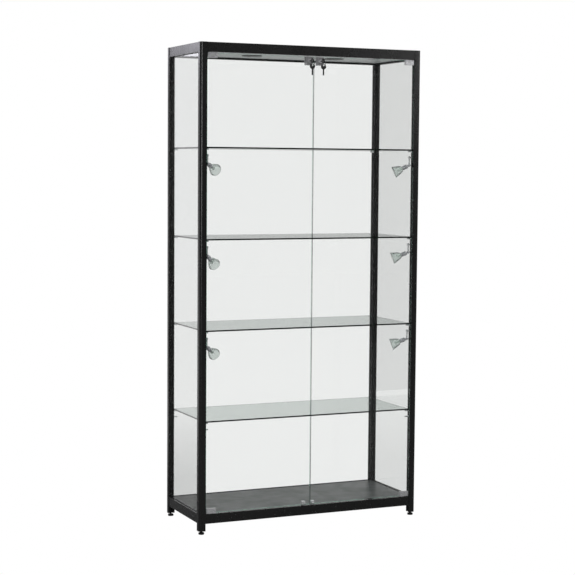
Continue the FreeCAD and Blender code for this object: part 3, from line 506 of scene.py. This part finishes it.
def softened(thing, width=0.0003, segments=2):
    """Bevel every sharp edge a little and apply it."""
    bpy.context.view_layer.objects.active = thing
    bevel = thing.modifiers.new("soft edges", "BEVEL")
    bevel.width = width
    bevel.segments = segments
    bevel.limit_method = "ANGLE"
    bpy.ops.object.modifier_apply(modifier=bevel.name)
    bpy.ops.object.shade_smooth_by_angle(angle=math.radians(35))
    return thing


def joined(name, pieces):
    """Join solids into one object."""
    bpy.ops.object.select_all(action="DESELECT")
    for thing in pieces:
        thing.select_set(True)
    bpy.context.view_layer.objects.active = pieces[0]
    bpy.ops.object.join()
    pieces[0].name = name
    return pieces[0]


def carried(model, name, matrix, body, node=None):
    """A copy of the model with its own mesh, carried to its place, riding its body."""
    copy = bpy.data.objects.new(name, model.data.copy())
    copy.data.transform(matrix)
    bpy.context.scene.collection.objects.link(copy)
    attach(copy, body)
    if node:
        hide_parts(node)
    return copy


def dropped(model):
    """Remove the model once its copies are in place."""
    bpy.data.objects.remove(model, do_unlink=True)


def shaped(name, size, place):
    """A block of the given size at its place, ready for edit mode."""
    thing = start_from(bpy.ops.mesh.primitive_cube_add, name, size=1)
    thing.data.transform(Matrix.Translation(place) @ Matrix.Diagonal((*size, 1)))
    return thing


print("modelling helpers ready")

# %% [markdown]
# ## Lamp heads
# Each spotlight is a bare reflector lamp: a pressed glass bell with facets inside, a front
# glass lens with a bright bulb, and a satin metal holder between two fork bars. The bell is one
# outline spun round the beam, and the faces of its outer wall are each inset and pushed
# in a little for the facets.

# %% Model one lamp head along +Z
HOLDER_TOP = 0.031
MOUTH_R, MOUTH_Z = 0.025, 0.072
BELL = [(0.0077, HOLDER_TOP), (0.0112, 0.0345), (0.0140, 0.0390), (0.0168, 0.0455), (0.0192, 0.0530),
        (0.0210, 0.0590), (0.0233, 0.0650), (MOUTH_R, 0.0690), (MOUTH_R, MOUTH_Z), (0.0238, MOUTH_Z),
        (0.0238, 0.0690), (0.0222, 0.0650), (0.0199, 0.0590), (0.0157, 0.0455), (0.0126, 0.0390),
        (0.0068, 0.0325)]
LENS = [(0.0, 0.0712), (0.006, 0.0712), (0.0075, 0.0704), (0.0090, 0.0712), (0.0165, 0.0712),
        (0.0180, 0.0704), (0.0195, 0.0712), (0.0237, 0.0708), (0.0237, 0.0694), (0.0, 0.0694)]
BULB = [(0.0, 0.0330), (0.0045, 0.0335), (0.0052, 0.0370), (0.0052, 0.0500), (0.0040, 0.0545), (0.0, 0.0570)]
HOLDER = [(0.0, 0.0085), (0.0070, 0.0085), (0.0086, 0.0100), (0.0090, 0.0112), (0.0090, 0.0140),
          (0.0083, 0.0146), (0.0083, 0.0156), (0.0090, 0.0162), (0.0090, 0.0192), (0.0083, 0.0198),
          (0.0083, 0.0208), (0.0090, 0.0214), (0.0090, 0.0300), (0.0080, 0.0312), (0.0, 0.0312)]
bell = spun("bell_model", BELL, 36)
pick(bell, lambda middle, normal: normal.z < -0.1 and 0.040 < middle.z < 0.066)
bpy.ops.mesh.inset(thickness=0.0005, depth=-0.0004, use_individual=True)
done(bell, smooth=False)
lens = spun("lens_model", LENS, 36)
bulb = spun("bulb_model", BULB, 24)
holder = spun("holder_model", HOLDER, 32)
fork = []
for way in (-1, 1):
    ear = shaped("ear_model", (0.003, 0.008, 0.016), Vector((way * 0.0048, 0, 0.002)))
    pick(ear, lambda middle, normal: normal.z < -0.9)
    bpy.ops.mesh.bevel(offset=0.0032, segments=5, affect="EDGES")
    done(ear)
    fork.append(softened(ear, 0.0004))
holder = joined("holder_model", [holder] + fork)
print("lamp faces:", len(bell.data.polygons), "holder faces:", len(holder.data.polygons))

# %% Carry a lamp head to each of the six arms
PAN = {"left": 40, "right": 22}
TILT = {"left": (30, 33, 21), "right": (21, 21, 25)}
POST, LAMP_INSET, PEG_BACK = 0.028, 0.011, 0.023
LAMP_Z = (0.770, 1.142, 1.514)
LAMP_X = (cabinet_high.x - cabinet_low.x) / 2 - POST - LAMP_INSET
LAMP_Y = cabinet_low.y + PEG_BACK
lamp_parts = []
for side, sign in SIDES:
    heading = math.radians(PAN[side] if sign < 0 else 180 - PAN[side])
    for count in (1, 2, 3):
        drop = math.radians(TILT[side][count - 1])
        level = math.cos(drop)
        aim = Vector((math.cos(heading) * level, math.sin(heading) * level, -math.sin(drop)))
        across = Vector((math.sin(heading), -math.cos(heading), 0))
        turn = Matrix((across, aim.cross(across), aim)).transposed().to_4x4()
        place = Matrix.Translation((sign * LAMP_X, LAMP_Y, LAMP_Z[count - 1])) @ turn
        body, label = f"head_{side}_{count}", f"{side}_{count}"
        shell = carried(bell, f"bell_{label}", place, body, f"lamp_head_{label}")
        lamp_parts.append((shell, "bell_glass"))
        lamp_parts.append((carried(lens, f"lens_{label}", place, body), "lens_glass"))
        lamp_parts.append((carried(bulb, f"bulb_{label}", place, body), "bulb_white"))
        lamp_parts.append((carried(holder, f"holder_{label}", place, body), "satin_metal"))
for model in (bell, lens, bulb, holder):
    dropped(model)
print("lamp pieces:", len(lamp_parts))

# %% [markdown]
# ## Hinge clamps
# Each glass door hangs in two small clamps. A clamp is a pair of pressed plates on either
# side of the glass with a raised frame round the edge, held by two screws through rubber.
# The plate is inset and its middle sunk. Each screw head is a short disc with a sunk
# middle.

# %% Give each clamp a framed plate and two screws
CLAMP_LONG, CLAMP_RISE, SCREW_OUT = 0.041, 0.0065, 0.011
plate_parts = []
for side, sign in SIDES:
    low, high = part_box(f"hinge_clamps_{side}")
    door_low, door_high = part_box(f"door_glass_{side}")
    outer = high.x if sign > 0 else low.x
    middle_x = outer - sign * CLAMP_LONG / 2
    for level, middle_z in (("low", door_low.z + CLAMP_RISE), ("high", door_high.z - CLAMP_RISE)):
        plate = shaped("plate_model", (CLAMP_LONG - 0.003, 0.0012, 0.017), Vector((0, -0.0002, 0)))
        pick(plate, lambda middle, normal: normal.y < -0.9)
        bpy.ops.mesh.inset(thickness=0.0022)
        bpy.ops.mesh.inset(thickness=0.0005, depth=-0.0005)
        done(plate)
        softened(plate, 0.0002)
        screws = []
        for way in (-1, 1):
            screw = start_from(bpy.ops.mesh.primitive_cylinder_add, "screw_model", vertices=20, radius=0.0026,
                               depth=0.0009)
            pick(screw, lambda middle, normal: normal.z > 0.9)
            bpy.ops.mesh.inset(thickness=0.0006)
            bpy.ops.mesh.inset(thickness=0.0004, depth=-0.0004)
            done(screw)
            screw.data.transform(Matrix.Translation((way * SCREW_OUT, -0.0006, 0))
                                 @ Matrix.Rotation(math.radians(90), 4, "X"))
            screws.append(screw)
        plate = joined("plate_model", [plate] + screws)
        place = Matrix.Translation((middle_x, low.y + 0.0006, middle_z))
        plate_parts.append((carried(plate, f"clamp_plate_{side}_{level}", place, f"door_{side}"),
                            "satin_metal"))
        dropped(plate)
print("clamp plates:", len(plate_parts))

# %% Put a finish on every piece of the frame
FINISH_OF = {
    "post_front_left": "profile_up", "post_front_right": "profile_up",
    "post_back_left": "profile_up", "post_back_right": "profile_up",
    "top_rail_front": "profile_across", "top_rail_back": "profile_across",
    "bottom_rail_front": "profile_across", "bottom_rail_back": "profile_across",
    "top_side_rails": "profile_deep", "bottom_side_rails": "profile_deep",
    "post_caps": "black_plastic", "cable_gland": "black_plastic", "pivot_washers": "black_plastic",
    "floor_panel": "floor_board", "ceiling_panel": "ceiling_board", "roof_panel": "floor_board",
    "side_glass_left": "glass_across_x", "side_glass_right": "glass_across_x", "back_glass": "glass_across_y",
    "door_glass_left": "glass_across_y", "door_glass_right": "glass_across_y",
    "glazing_seals": "rubber", "ceiling_vents": "vent_paint", "transformer": "vent_paint",
    "corner_brackets": "zinc", "lock_body_left": "lock_chrome", "lock_body_right": "lock_chrome",
    "lock_key_left": "black_plastic", "lock_key_right": "black_plastic",
    "spare_key_left": "black_plastic", "spare_key_right": "black_plastic",
}


def finish_for(node):
    """The finish of a node by its name, chrome unless stated."""
    if node.startswith("glass_shelf"):
        return "shelf_glass"
    if node.startswith("foot"):
        return "black_plastic"
    return FINISH_OF.get(node, "chrome")


for name, thing in nodes.items():
    thing.data.materials.clear()
    thing.data.materials.append(finishes[finish_for(name)])
for thing, label in lamp_parts + plate_parts:
    thing.data.materials.clear()
    thing.data.materials.append(finishes[label])
print("finished nodes:", len(nodes))
